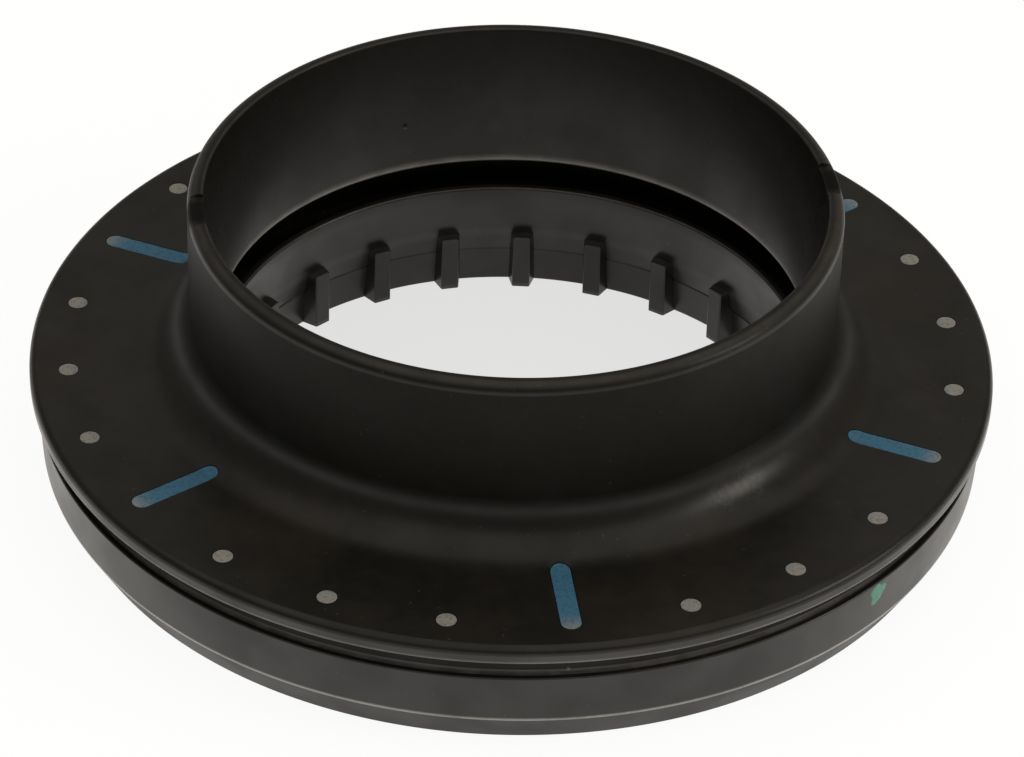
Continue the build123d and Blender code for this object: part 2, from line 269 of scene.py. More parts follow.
class Sockets:
    """Adds nodes to a tree and sets or links their inputs."""

    def __init__(self, tree):
        self.tree = tree

    def add(self, kind, **values):
        """A node with its own settings."""
        node = self.tree.nodes.new(kind)
        for name, value in values.items():
            setattr(node, name, value)
        return node

    def put(self, socket, value):
        """Links a socket where the value is one, and sets it otherwise."""
        if isinstance(value, bpy.types.NodeSocket):
            self.tree.links.new(value, socket)
        else:
            socket.default_value = value

    def fill(self, sockets, values):
        for socket, value in zip(sockets, values):
            self.put(socket, value)

    def feed(self, node, **inputs):
        """Fills inputs by name, with _ for a space, and hands the node back."""
        for name, value in inputs.items():
            self.put(node.inputs[name.replace("_", " ")], value)
        return node

    def math(self, operation, *values, clamp=False):
        node = self.add("ShaderNodeMath", operation=operation, use_clamp=clamp)
        self.fill(node.inputs, values)
        return node.outputs[0]

    def plus(self, first, second):
        return self.math("ADD", first, second)

    def minus(self, first, second):
        return self.math("SUBTRACT", first, second)

    def times(self, first, second, clamp=False):
        return self.math("MULTIPLY", first, second, clamp=clamp)

    def over(self, first, second):
        return self.math("DIVIDE", first, second)

    def opposite(self, mask):
        """0 where the mask is 1, and 1 where it is 0."""
        return self.minus(1.0, mask)

    def hypotenuse(self, across, up):
        return self.math("SQRT", self.plus(self.times(across, across), self.times(up, up)))

    def mix(self, share, first, second):
        """A colour that goes from the first to the second as the share goes from 0 to 1."""
        node = self.add("ShaderNodeMix", data_type="RGBA")
        self.put(node.inputs[0], share)
        for socket, value in ((node.inputs[6], first), (node.inputs[7], second)):
            self.put(socket, value if isinstance(value, bpy.types.NodeSocket) else (*value, 1))
        return node.outputs[2]

    def blend(self, share, first, second):
        """A number that goes from the first to the second as the share goes from 0 to 1."""
        node = self.add("ShaderNodeMix", data_type="FLOAT")
        self.fill((node.inputs[0], node.inputs[2], node.inputs[3]), (share, first, second))
        return node.outputs[0]

    def noise(self, vector, scale, detail=2.0, roughness=0.5):
        node = self.add("ShaderNodeTexNoise")
        self.feed(node, Vector=vector, Scale=scale, Detail=detail, Roughness=roughness)
        return node.outputs["Fac"]

    def step(self, value, low, high):
        """0 below low, 1 above high and smooth between."""
        node = self.add("ShaderNodeMapRange", interpolation_type="SMOOTHSTEP")
        self.fill(node.inputs, (value, low, high, 0.0, 1.0))
        return node.outputs[0]

    def apart(self, vector):
        """The three parts of a vector."""
        parts = self.add("ShaderNodeSeparateXYZ")
        self.put(parts.inputs[0], vector)
        return parts.outputs

    def place(self):
        """The point on the piece in metres: (vector, radius from the turning axis, height)."""
        vector = self.add("ShaderNodeTexCoord").outputs["Object"]
        x, y, z = self.apart(vector)
        return vector, self.hypotenuse(x, y), z

    def cover(self, kind, share, first, second):
        """Ends the tree with one shader that goes to a second as the share goes from 0 to 1."""
        mixed = self.add("ShaderNodeMixShader")
        self.fill(mixed.inputs, (share, first.outputs[0], second.outputs[0]))
        self.feed(self.add(kind), Surface=mixed.outputs[0])


def rounded(corners):
    """An outline whose corners (across, up, rounding) are rounded, as a list of points."""
    points = []
    for i, (across, up, rounding) in enumerate(corners):
        here = Vector((across, up))
        if not rounding:
            points.append(here)
            continue
        back = (Vector(corners[i - 1][:2]) - here).normalized()
        ahead = (Vector(corners[(i + 1) % len(corners)][:2]) - here).normalized()
        opening = back.angle(ahead)
        centre = here + (back + ahead).normalized() * (rounding / math.sin(opening / 2))
        reach = rounding / math.tan(opening / 2)
        start, end = here + back * reach - centre, here + ahead * reach - centre
        turn = start.angle(end)
        steps = max(2, math.ceil(turn / math.radians(14)))
        for k in range(steps + 1):
            share = k / steps
            mixed = start * math.sin((1 - share) * turn) + end * math.sin(share * turn)
            points.append(centre + mixed / math.sin(turn))
    return points


def arc(centre, radius, first, last, steps=10):
    """Corners along an arc, from one angle to another in degrees."""
    corners = []
    for k in range(steps + 1):
        turn = math.radians(first + (last - first) * k / steps)
        corners.append((centre[0] + radius * math.cos(turn), centre[1] + radius * math.sin(turn), 0))
    return corners


def linked(name, data):
    """An object that holds the data, linked to the scene."""
    thing = bpy.data.objects.new(name, data)
    bpy.context.scene.collection.objects.link(thing)
    return thing


def new_object(name, vertices, edges=(), faces=()):
    """An object with its own mesh."""
    mesh = bpy.data.meshes.new(name)
    mesh.from_pydata(vertices, edges, faces)
    return linked(name, mesh)


def section_object(name, corners):
    """An object that holds only the outline of a section, in the XZ plane."""
    points = rounded(corners)
    edges = [(i, (i + 1) % len(points)) for i in range(len(points))]
    return new_object(name, [(p.x, 0, p.y) for p in points], edges)


def prism_object(name, outlines, low, high, edge=0.0):
    """Upright prisms over outlines of (x, y) points, against the clock, with a chamfer round the top."""
    vertices, faces = [], []
    for outline in outlines:
        count = len(outline)
        middle = sum((Vector(p) for p in outline), Vector((0, 0))) / count
        narrow = min((Vector(p) - middle).length for p in outline)
        share = 1 - edge / narrow
        first = len(vertices)
        for up, scale in ((low, 1), (high - edge, 1), (high, share)):
            vertices += [(*(middle + (Vector(p) - middle) * scale), up) for p in outline]
        for ring in (first, first + count):
            for i in range(count):
                after = (i + 1) % count
                faces.append((ring + i, ring + after, ring + count + after, ring + count + i))
        faces.append(tuple(range(first + count - 1, first - 1, -1)))
        faces.append(tuple(range(first + 2 * count, first + 3 * count)))
    return new_object(name, vertices, faces=faces)


def bar(inner, outer, width):
    """Outline of a straight bar along X, against the clock."""
    return [(inner, -width / 2), (outer, -width / 2), (outer, width / 2), (inner, width / 2)]


def disc(x, y, radius, steps=40):
    """Outline of a circle, against the clock."""
    angles = [math.tau * k / steps for k in range(steps)]
    return [(x + radius * math.cos(a), y + radius * math.sin(a)) for a in angles]


def turned(points, angle):
    """The same outline, turned about the origin."""
    return [Matrix.Rotation(angle, 2) @ Vector(p) for p in points]


def built_once(name):
    """For a function that builds a node group: only its first call builds, later ones get the same group."""

    def once(build):
        return lambda: bpy.data.node_groups.get(name) or build(name)

    return once


def shape_group(name, inputs):
    """A Geometry Nodes tree with inputs {name: (socket type, default)}, and its input and output nodes."""
    group = bpy.data.node_groups.new(name, "GeometryNodeTree")
    group.interface.new_socket(name="Shape", in_out="INPUT", socket_type="NodeSocketGeometry")
    for title, (kind, default) in inputs.items():
        socket = group.interface.new_socket(name=title, in_out="INPUT", socket_type=kind)
        if default is not None:
            socket.default_value = default
    group.interface.new_socket(name="Shape", in_out="OUTPUT", socket_type="NodeSocketGeometry")
    nodes = Sockets(group)
    return nodes, nodes.add("NodeGroupInput"), nodes.add("NodeGroupOutput")


def give_material(nodes, given, result, shape):
    """Ends a tree with Realize Instances and Set Material."""
    real = nodes.add("GeometryNodeRealizeInstances")
    nodes.put(real.inputs[0], shape)
    painted = nodes.add("GeometryNodeSetMaterial")
    nodes.feed(painted, Geometry=real.outputs[0], Material=given.outputs["Material"])
    nodes.put(result.inputs[0], painted.outputs[0])
    return nodes.tree


@built_once("Turned ring")
def turned_ring(name):
    """Geometry Nodes: turns the outline that the object holds once round the Z axis."""
    inputs = {
        "Guide radius": ("NodeSocketFloat", 60 * MM),
        "Steps": ("NodeSocketInt", 288),
        "Material": ("NodeSocketMaterial", None),
    }
    nodes, given, result = shape_group(name, inputs)
    x, _, z = nodes.apart(nodes.add("GeometryNodeInputPosition").outputs[0])
    flat = nodes.add("ShaderNodeCombineXYZ")
    nodes.feed(flat, X=nodes.minus(x, given.outputs["Guide radius"]), Y=nodes.times(z, -1.0))
    laid = nodes.add("GeometryNodeSetPosition")
    nodes.feed(laid, Geometry=given.outputs["Shape"], Position=flat.outputs[0])
    profile = nodes.feed(nodes.add("GeometryNodeMeshToCurve"), Mesh=laid.outputs[0])
    guide = nodes.add("GeometryNodeCurvePrimitiveCircle")
    nodes.feed(guide, Resolution=given.outputs["Steps"], Radius=given.outputs["Guide radius"])
    sweep = nodes.add("GeometryNodeCurveToMesh")
    nodes.feed(sweep, Curve=guide.outputs[0], Profile_Curve=profile.outputs[0])
    return give_material(nodes, given, result, sweep.outputs[0])


@built_once("Ring of copies")
def ring_of_copies(name):
    """Geometry Nodes: repeats the object's mesh round the Z axis."""
    inputs = {
        "Count": ("NodeSocketInt", 24),
        "Phase": ("NodeSocketFloat", 0.0),
        "Material": ("NodeSocketMaterial", None),
    }
    nodes, given, result = shape_group(name, inputs)
    points = nodes.feed(nodes.add("GeometryNodePoints"), Count=given.outputs["Count"])
    number = nodes.add("GeometryNodeInputIndex").outputs[0]
    turn = nodes.over(nodes.times(number, math.tau), given.outputs["Count"])
    rotation = nodes.feed(nodes.add("ShaderNodeCombineXYZ"), Z=nodes.plus(turn, given.outputs["Phase"]))
    copies = nodes.feed(
        nodes.add("GeometryNodeInstanceOnPoints"),
        Points=points.outputs[0],
        Instance=given.outputs["Shape"],
        Rotation=rotation.outputs[0],
    )
    return give_material(nodes, given, result, copies.outputs[0])


def shape_with(shape, group, **inputs):
    """Puts a Geometry Nodes tree on an object and sets its named inputs."""
    modifier = shape.modifiers.new(group.name, "NODES")
    modifier.node_group = group
    for item in group.interface.items_tree:
        if item.item_type == "SOCKET" and item.in_out == "INPUT" and item.name.replace(" ", "_") in inputs:
            modifier[item.identifier] = inputs[item.name.replace(" ", "_")]
    return shape


def turned_shape(name, corners, steps, material):
    """A section turned round the Z axis."""
    section = section_object(name, corners)
    return shape_with(section, turned_ring(), Guide_radius=BALL_CIRCLE, Steps=steps, Material=material)


def repeated_shape(name, outlines, low, high, material, count, phase=0.0, edge=0.0):
    """Upright prisms repeated round the Z axis."""
    prisms = prism_object(name, outlines, low, high, edge)
    return shape_with(prisms, ring_of_copies(), Count=count, Phase=phase, Material=material)


def combine(shape, operation, other):
    """Joins another object's shape to this one, takes it away, or keeps what they share."""
    modifier = shape.modifiers.new(other.name, "BOOLEAN")
    modifier.operation = operation
    modifier.solver = "EXACT"
    modifier.object = other
    modifier.material_mode = "INDEX"


def baked(shape):
    """The shape with its modifiers, as a mesh of its own."""
    return bpy.data.meshes.new_from_object(shape.evaluated_get(bpy.context.evaluated_depsgraph_get()))


def plain_piece(name, shape, helpers, material):
    """The built shape as a plain mesh with smooth faces and crisp edges; its helpers go."""
    mesh = baked(shape)
    for old in (shape, *helpers):
        bpy.data.objects.remove(old)
    mesh.name = name
    work = bmesh.new()
    work.from_mesh(mesh)
    bmesh.ops.remove_doubles(work, verts=work.verts, dist=WELD)
    bmesh.ops.dissolve_degenerate(work, edges=work.edges, dist=WELD)
    work.to_mesh(mesh)
    work.free()
    mesh.materials.clear()
    mesh.materials.append(material)
    mesh.polygons.foreach_set("material_index", [0] * len(mesh.polygons))
    mesh.polygons.foreach_set("use_smooth", [True] * len(mesh.polygons))
    mesh.set_sharp_from_angle(angle=CREASE)
    piece = linked(name, mesh)
    piece.modifiers.new("Even faces", "WEIGHTED_NORMAL").keep_sharp = True
    piece.data = baked(piece)
    piece.modifiers.clear()
    bpy.data.meshes.remove(mesh)
    return piece


def new_group(name, inputs, outputs):
    """A shader node group with number inputs {name: default} and number outputs [name]."""
    group = bpy.data.node_groups.new(name, "ShaderNodeTree")
    for title, default in inputs.items():
        socket = group.interface.new_socket(name=title, in_out="INPUT", socket_type="NodeSocketFloat")
        socket.default_value = default
    for title in outputs:
        group.interface.new_socket(name=title, in_out="OUTPUT", socket_type="NodeSocketFloat")
    nodes = Sockets(group)
    return nodes, nodes.add("NodeGroupInput").outputs, nodes.add("NodeGroupOutput")


@built_once("Moulded grain")
def moulded_grain(name):
    """Group: the fine grain and slow ripple of a moulded surface. Height is in metres."""
    inputs = {"Grain size": 0.35 * MM, "Grain depth": 4e-6, "Ripple size": 14 * MM, "Ripple depth": 2e-5}
    nodes, given, result = new_group(name, inputs, ["Height", "Mottle", "Cloud"])
    vector, _, _ = nodes.place()
    fine = nodes.noise(vector, nodes.over(1.0, given["Grain size"]), 3.0, 0.6)
    slow = nodes.noise(vector, nodes.over(1.0, given["Ripple size"]), 3.0, 0.55)
    mottle = nodes.noise(vector, nodes.over(5.0, given["Ripple size"]), 5.0, 0.65)
    height = nodes.plus(nodes.times(fine, given["Grain depth"]), nodes.times(slow, given["Ripple depth"]))
    mottle, cloud = nodes.step(mottle, 0.35, 0.7), nodes.step(slow, 0.35, 0.65)
    nodes.feed(result, Height=height, Mottle=mottle, Cloud=cloud)
    return nodes.tree


@built_once("Ring edge wear")
def ring_edge(name):
    """Group: a mask that is 1 on a round edge of a given radius and height, broken up by wear."""
    inputs = {"Radius": 50 * MM, "Height": 48 * MM, "Reach": 0.5 * MM, "Patchiness": 0.35}
    nodes, given, result = new_group(name, inputs, ["Mask"])
    vector, radius, height = nodes.place()
    away = nodes.hypotenuse(nodes.minus(radius, given["Radius"]), nodes.minus(height, given["Height"]))
    near = nodes.opposite(nodes.step(nodes.over(away, given["Reach"]), 0.2, 1.0))
    patch = nodes.step(nodes.noise(vector, 260.0, 4.0, 0.6), 0.4, 0.62)
    kept = nodes.opposite(nodes.times(given["Patchiness"], nodes.opposite(patch)))
    nodes.feed(result, Mask=nodes.times(near, kept, clamp=True))
    return nodes.tree


@built_once("Turned band")
def turned_band(name):
    """Group: a mask that is 1 between two radii and two heights."""
    inputs = {"Inner": 0.0, "Outer": 80 * MM, "Low": 0.0, "High": 50 * MM, "Blend": 0.3 * MM}
    nodes, given, result = new_group(name, inputs, ["Mask"])
    _, radius, height = nodes.place()
    mask = 1.0
    for value, low, high in ((radius, "Inner", "Outer"), (height, "Low", "High")):
        for first, second in ((value, given[low]), (given[high], value)):
            inside = nodes.over(nodes.minus(first, second), given["Blend"])
            mask = nodes.times(mask, nodes.step(inside, -0.5, 0.5))
    nodes.feed(result, Mask=mask)
    return nodes.tree


@built_once("Settled dust")
def settled_dust(name):
    """Group: a mask of dust that lies thicker on faces that look up, and one of its coarse specks."""
    nodes, given, result = new_group(name, {"Amount": 0.3, "Speck size": 0.6 * MM}, ["Mask", "Specks"])
    vector, _, _ = nodes.place()
    _, _, upward = nodes.apart(nodes.add("ShaderNodeNewGeometry").outputs["Normal"])
    film = nodes.step(nodes.noise(vector, 38.0, 6.0, 0.7), 0.4, 0.75)
    grit = nodes.noise(vector, nodes.over(1.0, given["Speck size"]), 1.0, 0.4)
    lying = nodes.times(nodes.step(upward, 0.2, 0.95), given["Amount"])
    specks = nodes.times(nodes.step(grit, 0.77, 0.82), given["Amount"], clamp=True)
    nodes.feed(result, Mask=nodes.times(lying, film, clamp=True), Specks=specks)
    return nodes.tree


def use_group(nodes, tree, **values):
    """Places a node group with its own values and hands its outputs back."""
    return nodes.feed(nodes.add("ShaderNodeGroup", node_tree=tree), **values).outputs


def empty_tree(owner):
    """The cleared node tree of a material or a world."""
    owner.use_nodes = True
    owner.node_tree.nodes.clear()
    return Sockets(owner.node_tree)


def new_material(name, **constants):
    """A material with a Principled shader whose plain values sit on its own sockets."""
    material = bpy.data.materials.new(name)
    nodes = empty_tree(material)
    shader = nodes.feed(nodes.add("ShaderNodeBsdfPrincipled"), **constants)
    nodes.feed(nodes.add("ShaderNodeOutputMaterial"), Surface=shader.outputs[0])
    return material, nodes, shader


def two_tones(nodes, share, colour, dark):
    """The colour where the share is 1, and a darker one where it is 0."""
    return nodes.mix(share, tuple(dark * c for c in colour), tuple(colour))


def bump(nodes, shader, height):
    """Feeds a height in metres to the shader's normal."""
    node = nodes.feed(nodes.add("ShaderNodeBump"), Strength=1.0, Distance=1.0, Height=height)
    nodes.feed(shader, Normal=node.outputs[0])


def zone_finish(nodes, zones):
    """The polish and the roughness of a piece, from zone to zone."""
    polish, rough = zones[0]
    for inner, outer, low, high, zone_polish, zone_rough in zones[1:]:
        mask = use_group(nodes, turned_band(), Inner=inner, Outer=outer, Low=low, High=high)["Mask"]
        polish, rough = nodes.blend(mask, polish, zone_polish), nodes.blend(mask, rough, zone_rough)
    return polish, rough


def worn_and_highlit_edges(nodes, edges, unit):
    """A mask of all worn edges, each as strong as it says; the strong ones are painted highlights as well as wear.
    """
    worn = 0.0
    for radius, height, strength, reach in edges:
        edge = use_group(nodes, ring_edge(), Radius=radius, Height=height, Reach=reach * unit)
        worn = nodes.math("MAXIMUM", worn, nodes.times(edge["Mask"], strength))
    return worn


def spot(nodes, vector, place, reach, strength):
    """A mask that fades out round a place."""
    away = nodes.add("ShaderNodeVectorMath", operation="DISTANCE")
    nodes.fill(away.inputs, (vector, place))
    near = nodes.opposite(nodes.step(away.outputs["Value"], 0.4 * reach, reach))
    return nodes.times(near, strength)


def moulded_plastic(name, colour, zones, edges, marks, scene, **constants):
    """Black moulded polyamide with grain, dust and a finish that changes from zone to zone.

    The first zone is the (polish, roughness) of the whole piece. The others are turned bands (inner
    radius, outer radius, low, high, polish, roughness). Edges are worn rings (radius, height, strength,
    reach in edge reaches); the strong ones are painted highlights as well as wear. Marks are spots (place,
    reach, strength), pale above 0 and dark below; the dark ones are painted shade.
    """
    sizes, colours = scene.strut_finish, scene.strut_colours
    material, nodes, shader = new_material(name, **constants)
    polish, rough = zone_finish(nodes, zones)
    grain = use_group(nodes, moulded_grain(), Grain_size=sizes.grain_size, Ripple_size=sizes.ripple_size)
    dust = use_group(nodes, settled_dust(), Amount=DUST)
    paint = two_tones(nodes, grain["Mottle"], colour, 0.75)
    paint = nodes.mix(dust["Mask"], paint, colours.dust)
    paint = nodes.mix(worn_and_highlit_edges(nodes, edges, sizes.edge_reach), paint, colours.scuff_and_highlight)
    paint = nodes.mix(nodes.times(dust["Specks"], 0.5), paint, colours.scuff_and_highlight)
    polish = nodes.times(polish, nodes.blend(grain["Cloud"], 1.2, 0.8))
    vector, _, _ = nodes.place()
    for place, reach, strength in marks:
        near = spot(nodes, vector, place, reach, abs(strength))
        if strength > 0:
            # Pale marks, speckled: the mould seam, and painted highlights on the pit's edge and the collar's root
            speckle = nodes.step(nodes.noise(vector, 1300.0), 0.35, 0.6)
            paint = nodes.mix(nodes.times(near, speckle), paint, colours.scuff_and_highlight)
        else:
            # Dark marks: painted shade, black, dull and rough
            paint = nodes.mix(near, paint, SHADE_BLACK)
            polish = nodes.times(polish, nodes.opposite(near))
            rough = nodes.plus(rough, nodes.times(near, 0.3))
    rough = nodes.plus(rough, nodes.times(grain["Cloud"], 0.08))
    rough = nodes.plus(rough, nodes.times(dust["Mask"], 0.3))
    nodes.feed(shader, Base_Color=paint, Roughness=rough, Coat_Weight=polish)
    bump(nodes, shader, grain["Height"])
    return material


def wear(node_name, material):
    """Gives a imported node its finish."""
    slots = frame["nodes"][node_name].data.materials
    slots.clear()
    slots.append(material)


def on_wall(angle, radius, height):
    """A point at an angle in degrees, and a radius and height in millimetres."""
    turn = math.radians(angle)
    return radius * MM * math.cos(turn), radius * MM * math.sin(turn), height * MM


def seat_corners(s):
    """Corners (radius, height, rounding) of the spring seat, from its race round by the collar."""
    web = BALL_HEIGHT + s.race_back
    race_end = arc((BALL_CIRCLE, BALL_HEIGHT), s.race_back, 90, 160)
    leg = COLLAR_RADIUS + s.leg
    lip_bore = s.rim_bore - s.lip_step
    draft, skirt = 0.5 * MM, s.skirt_radius
    wall_foot = s.recess_foot + draft
    hook, hook_foot, hook_nose, hook_top = 0.5 * MM, 0.9 * MM, 1.5 * MM, 2.1 * MM
    race_room, room_top = BALL_CIRCLE + s.race_back + 1.5 * MM, web + 1.2 * MM
    return [
        *race_end,
        (race_end[-1][0], BALL_HEIGHT + 0.6 * MM, 0),
        (leg + s.skirt_wall, s.leg_foot, s.edge),
        (leg, s.leg_foot, s.edge),
        (leg, web + 1.8 * MM, 0),
        (lip_bore + s.lip_ledge, s.lip, s.edge / 2),
        (lip_bore, s.lip, s.lip_round),
        (s.rim_bore, COLLAR_TOP, 2 * s.edge),
        (COLLAR_RADIUS, COLLAR_TOP, s.rim_round),
        (COLLAR_RADIUS, FLANGE_TOP, s.root),
        (FLANGE_RADIUS, FLANGE_TOP, s.flange_round),
        (FLANGE_RADIUS, s.under, 1.5 * s.edge),
        (s.recess_wall - draft / 2, s.under - draft / 2, 5 * s.edge),
        (s.recess_wall + draft / 2, wall_foot, s.edge),
        (skirt, wall_foot - (s.recess_wall + draft / 2 - skirt), 0),
        (skirt, s.skirt_foot + hook_top, 0),
        (skirt + hook, s.skirt_foot + hook_top, 0),
        (skirt + hook, s.skirt_foot + hook_nose, 0),
        (skirt, s.skirt_foot + hook_foot, 0),
        (skirt, s.skirt_foot, s.edge),
        (skirt - s.skirt_wall, s.skirt_foot, s.edge),
        (skirt - s.skirt_wall, room_top, 0),
        (race_room, room_top, 0),
        (race_room, web, 0),
    ]


def insert_section(s):
    """Corners of the stiffening ring's section between its pads."""
    bore, rim, low, high = s.insert_bore, INSERT_HIGH.x, INSERT_LOW.z, s.insert_top
    return [(bore, low, 0), (rim, low, 0), (rim, high, 0), (bore, high, 0)]


def mark_outlines(s, margin):
    """Outlines of one group of marks, three round ones and the long one before them."""
    wide = s.mark_width / 2 + margin
    round_mark = disc(s.mark_circle, 0, wide)
    near, far = s.slot_start + s.mark_width / 2, s.mark_circle
    outer = [(x, y) for x, y in disc(far, 0, wide) if x >= far - 1e-9]
    inner = [(x, y) for x, y in disc(near, 0, wide) if x <= near + 1e-9]
    long_mark = sorted(outer, key=lambda p: p[1]) + sorted(inner, key=lambda p: -p[1])
    outlines = [turned(round_mark, MARK_START + k * MARK_PITCH) for k in (1, 2, 3)]
    return outlines + [turned(long_mark, MARK_START)]


class BuildSpringSeat(Operator):
    """Builds the black moulding that carries the spring"""

    bl_idname = "strut_bearing.build_spring_seat"
    bl_label = "Build the spring seat"

    def execute(self, context):
        s = context.scene.strut_seat
        plastic = self.plastic(context.scene, s)
        seat = turned_shape("seat_section", seat_corners(s), s.turn_steps, plastic)
        helpers = [
            self.windows(s, plastic),
            turned_shape("ring_room", insert_section(s), s.turn_steps, plastic),
            self.slits(s, plastic),
            self.notches(s, plastic),
        ]
        for helper in helpers:
            combine(seat, "DIFFERENCE", helper)
        seat = plain_piece("spring_seat_moulding", seat, helpers, plastic)
        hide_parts("spring_seat")
        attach(seat, "spring_side")
        return {"FINISHED"}

    def plastic(self, scene, s):
        """Satin black, worn at its edges, with painted highlights on the lip, the flange edge and the recess wall,
        and painted shade in a pit and on the notch floors; the bore of the collar and the recess shine more.
        """
        wall_end, wall_middle = s.recess_wall + 1.2 * MM, s.recess_foot + 1.8 * MM
        wall_start, flange_low = s.recess_wall - 1 * MM, s.under - 0.3 * MM
        beyond = 2 * COLLAR_RADIUS
        zones = [
            (0.24, 0.36),
            # Outside of the collar, its rim, its bore and its lip
            (COLLAR_RADIUS - 1 * MM, beyond, FLANGE_TOP + s.root, COLLAR_TOP - s.rim_round, 0.0, 0.4),
            (0, beyond, COLLAR_TOP - 1 * MM, COLLAR_TOP + 1 * MM, 0.1, 0.42),
            (0, s.rim_bore + 0.3 * MM, s.lip, COLLAR_TOP - 0.5 * MM, 0.46, 0.24),
            (0, s.rim_bore, s.lip - 0.5 * MM, s.lip + 1 * MM, 0.9, 0.34),
            # Edge of the flange, and the wall under it: above, dulled as painted shade under the lip; below,
            # glossed as painted light from the lamp
            (wall_end, FLANGE_RADIUS + 1 * MM, flange_low, FLANGE_TOP - s.flange_round, 0.56, 0.28),
            (wall_start, wall_end, wall_middle, flange_low, 0.05, 0.4),
            (wall_start, wall_end, s.recess_foot, wall_middle, 1.0, 0.26),
        ]
        # Worn rings; those on the lip, the flange edge and the recess wall are strong enough to be painted
        # highlights as well as wear
        edges = [
            (COLLAR_RADIUS - s.rim_round / 2, COLLAR_TOP, 0.1, 2.0),
            (s.rim_bore, COLLAR_TOP, 0.12, 1.0),
            (s.rim_bore - s.lip_step, s.lip + s.lip_round / 2, 0.65, 2.8),
            (FLANGE_RADIUS, s.under, 0.7, 1.2),
            (s.recess_wall, s.recess_foot + 0.85 * MM, 0.6, 2.2),
        ]
        marks = [
            # Pit in the bore of the collar, darkened with painted shade, and a painted highlight on its lower edge
            (on_wall(105.27, 46.08, 33.0), 0.55 * MM, -0.9),
            (on_wall(105.27, 46.08, 32.3), 0.4 * MM, 0.35),
            # Seam of the mould on the edge of the flange and on the wall under it
            (on_wall(-90.65, 75, 17.6), 0.5 * MM, 0.45),
            (on_wall(-90.65, 72.6, 14.4), 0.5 * MM, 0.45),
            # Pale specks of painted highlight on the root of the collar, where the right lamp's highlight falls
            (on_wall(-60, 51.9, 23.1), 3.5 * MM, 0.06),
            (on_wall(-54, 51.9, 23.1), 4 * MM, 0.07),
            # Painted shade on the floors of the two notches
            (on_wall(0, 48.4, 48), 4.6 * MM, -0.9),
            (on_wall(180, 48.4, 48), 4.6 * MM, -0.9),
        ]
        return moulded_plastic(
            "Satin black moulding", scene.strut_colours.seat, zones, edges, marks, scene,
            Specular_IOR_Level=0.22, Coat_Roughness=0.3, Coat_IOR=1.8,
        )

    def windows(self, s, plastic):
        """Windows in which the pads of the stiffening ring show."""
        outlines = mark_outlines(s, 0.1 * MM)
        low = s.insert_top - 0.02 * MM
        return repeated_shape("windows", outlines, low, FLANGE_TOP + 2 * MM, plastic, MARK_GROUPS)

    def slits(self, s, plastic):
        """Twelve slits that let the skirt spring."""
        outline = bar(s.skirt_radius - s.skirt_wall - 1 * MM, s.skirt_radius + 1 * MM, 1.6 * MM)
        return repeated_shape("slits", [outline], s.skirt_foot - 1 * MM, s.skirt_foot + 3.2 * MM, plastic, 12)

    def notches(self, s, plastic):
        """Two shallow notches across the rim of the collar."""
        outline = bar(COLLAR_RADIUS - 2 * s.collar_wall, COLLAR_RADIUS + s.collar_wall, s.notch_width)
        low, high = COLLAR_TOP - s.notch_depth, COLLAR_TOP + 1 * MM
        return repeated_shape("notches", [outline], low, high, plastic, 2)


def cap_corners(c, race_back):
    """Corners (radius, height, rounding) of the body cap, from its race round by the skirt."""
    race_end = arc((BALL_CIRCLE, BALL_HEIGHT), race_back, -90, -20)
    race_rim, rim_top = race_end[-1][0], BALL_HEIGHT - 0.8 * MM
    skirt = BALL_CIRCLE + c.skirt
    bead, mouth = skirt - c.bead, skirt + c.mouth
    bead_low = BALL_HEIGHT + 0.3 * MM
    bead_high = bead_low + 0.65 * MM
    line = c.bore - c.bore_taper
    land_low, shelf = SLEEVE_TOP - c.land, SLEEVE_TOP - c.sleeve_edge
    lean = (line - SLEEVE_RADIUS) / (land_low - c.parting)
    return [
        *race_end,
        (race_rim, rim_top, 0),
        (race_rim + c.shoulder, rim_top, c.edge),
        (race_rim + c.shoulder, c.floor, 0),
        (skirt, c.floor, 0),
        (skirt, bead_low - c.bead, 0),
        (bead, bead_low, 0),
        (bead, bead_high, 0),
        (mouth, bead_high + mouth - bead, c.edge),
        (mouth, c.skirt_top, c.edge),
        (c.top_radius, c.skirt_top, 1.5 * c.edge),
        (c.heel_radius, c.heel, c.heel_round),
        (c.heel_radius - c.slope, 0, c.edge),
        (c.bore, 0, c.edge),
        (line - c.parting_step, c.parting - c.parting_step, 0),
        (line, c.parting, 0),
        (SLEEVE_RADIUS, land_low, 0),
        (SLEEVE_RADIUS, SLEEVE_TOP, 2 * c.edge),
        (SLEEVE_RADIUS + c.sleeve_edge, SLEEVE_TOP, c.edge),
        (SLEEVE_RADIUS + (land_low - shelf) * lean + c.sleeve_wall, shelf, c.edge),
        (SLEEVE_RADIUS + (land_low - c.floor) * lean + c.sleeve_wall, c.floor, 0),
    ]


